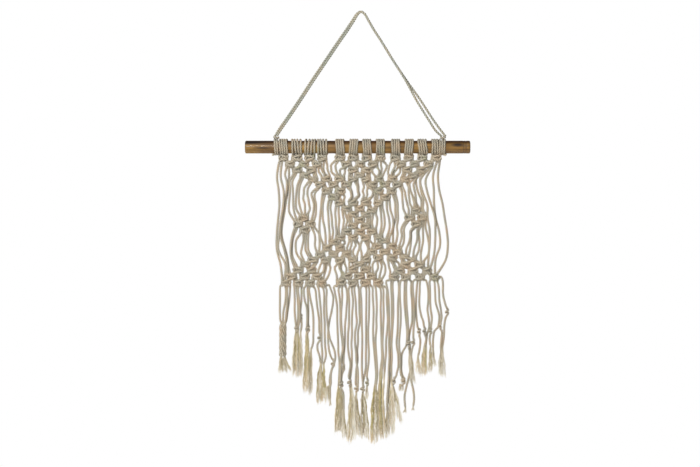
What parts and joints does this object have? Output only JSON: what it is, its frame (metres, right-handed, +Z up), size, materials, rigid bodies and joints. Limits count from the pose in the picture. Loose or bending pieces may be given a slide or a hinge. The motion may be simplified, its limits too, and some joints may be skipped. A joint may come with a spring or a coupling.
{
  "type": "macrame wall hanging on a wooden rod",
  "caption": "Cream cotton macrame wall hanging of square knots in an X, with frayed knotted fringe in three panels, tied to a round wooden rod that hangs by a looped cotton cord.",
  "frame": {"origin": "the nail or hook point that the hanger cord hangs from, at the top of the cord's loop, on the plane through the rod's axis", "axes": "+X to the right along the rod as seen from the front, +Z up, the front faces -Y and the wall is at +Y"},
  "size_m": [0.3, 0.0232, 0.5789],
  "materials": {
    "cotton_cord": "matt twisted cotton",
    "cotton_fringe": "matt frayed cotton",
    "rod_wood": "varnished"
  },
  "bodies": {
    "root": {"rod": "rod_wood", "macrame_net": "cotton_cord", "fringe_left": "cotton_fringe", "fringe_middle": "cotton_fringe", "fringe_right": "cotton_fringe", "hanger_wrap_left": "cotton_cord", "hanger_wrap_right": "cotton_cord", "hanger_cord_front": "cotton_cord", "hanger_cord_back": "cotton_cord"}
  },
  "joints": []
}
